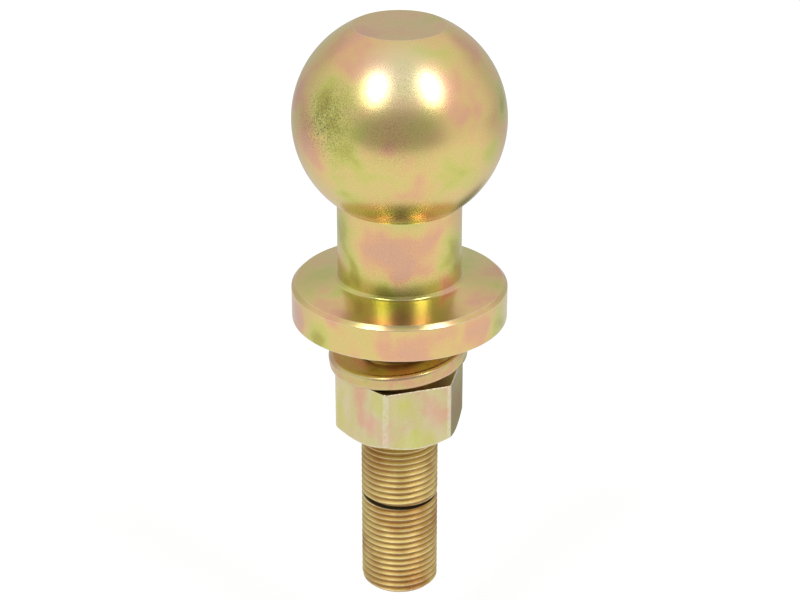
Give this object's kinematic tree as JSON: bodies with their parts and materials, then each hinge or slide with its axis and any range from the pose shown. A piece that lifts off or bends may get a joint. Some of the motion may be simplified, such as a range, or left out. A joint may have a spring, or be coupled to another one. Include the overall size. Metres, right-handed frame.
{
  "type": "trailer tow ball",
  "caption": "Bolt-on trailer tow ball: flat-topped ball, neck and flange on a threaded shank, with spring washer and hex nut.",
  "frame": {"origin": "on the axis, at the underside of the flange that seats on the drawbar", "axes": "+Z along the axis towards the ball, -Z along the threaded shank towards its free end; the split of the washer faces +Y"},
  "size_m": [0.0516, 0.0516, 0.1465],
  "materials": {
    "forged_steel": "satin yellow zinc passivate on turned forged steel",
    "nut_steel": "pale yellow zinc passivate on cold-formed steel",
    "spring_steel": "yellow zinc passivate on rolled spring steel"
  },
  "bodies": {
    "stud": {"ball_stud": "forged_steel"},
    "washer": {"spring_washer": "spring_steel"},
    "nut": {"hex_nut": "nut_steel"}
  },
  "joints": [
    {"name": "washer_slide", "type": "slide", "parent": "stud", "child": "washer", "axis": [0, 0, -1], "range_m": [-0.0068, 0.0721]},
    {"name": "nut_turn", "type": "hinge", "parent": "washer", "child": "nut", "pos_m": [0, 0, -0.022], "axis": [0, 0, -1], "range_deg": [-1540, 16330]}
  ],
  "couplings": [
    {"joint": "washer_slide", "follows": "nut_turn", "m_per_rad": 0.00025266}
  ]
}
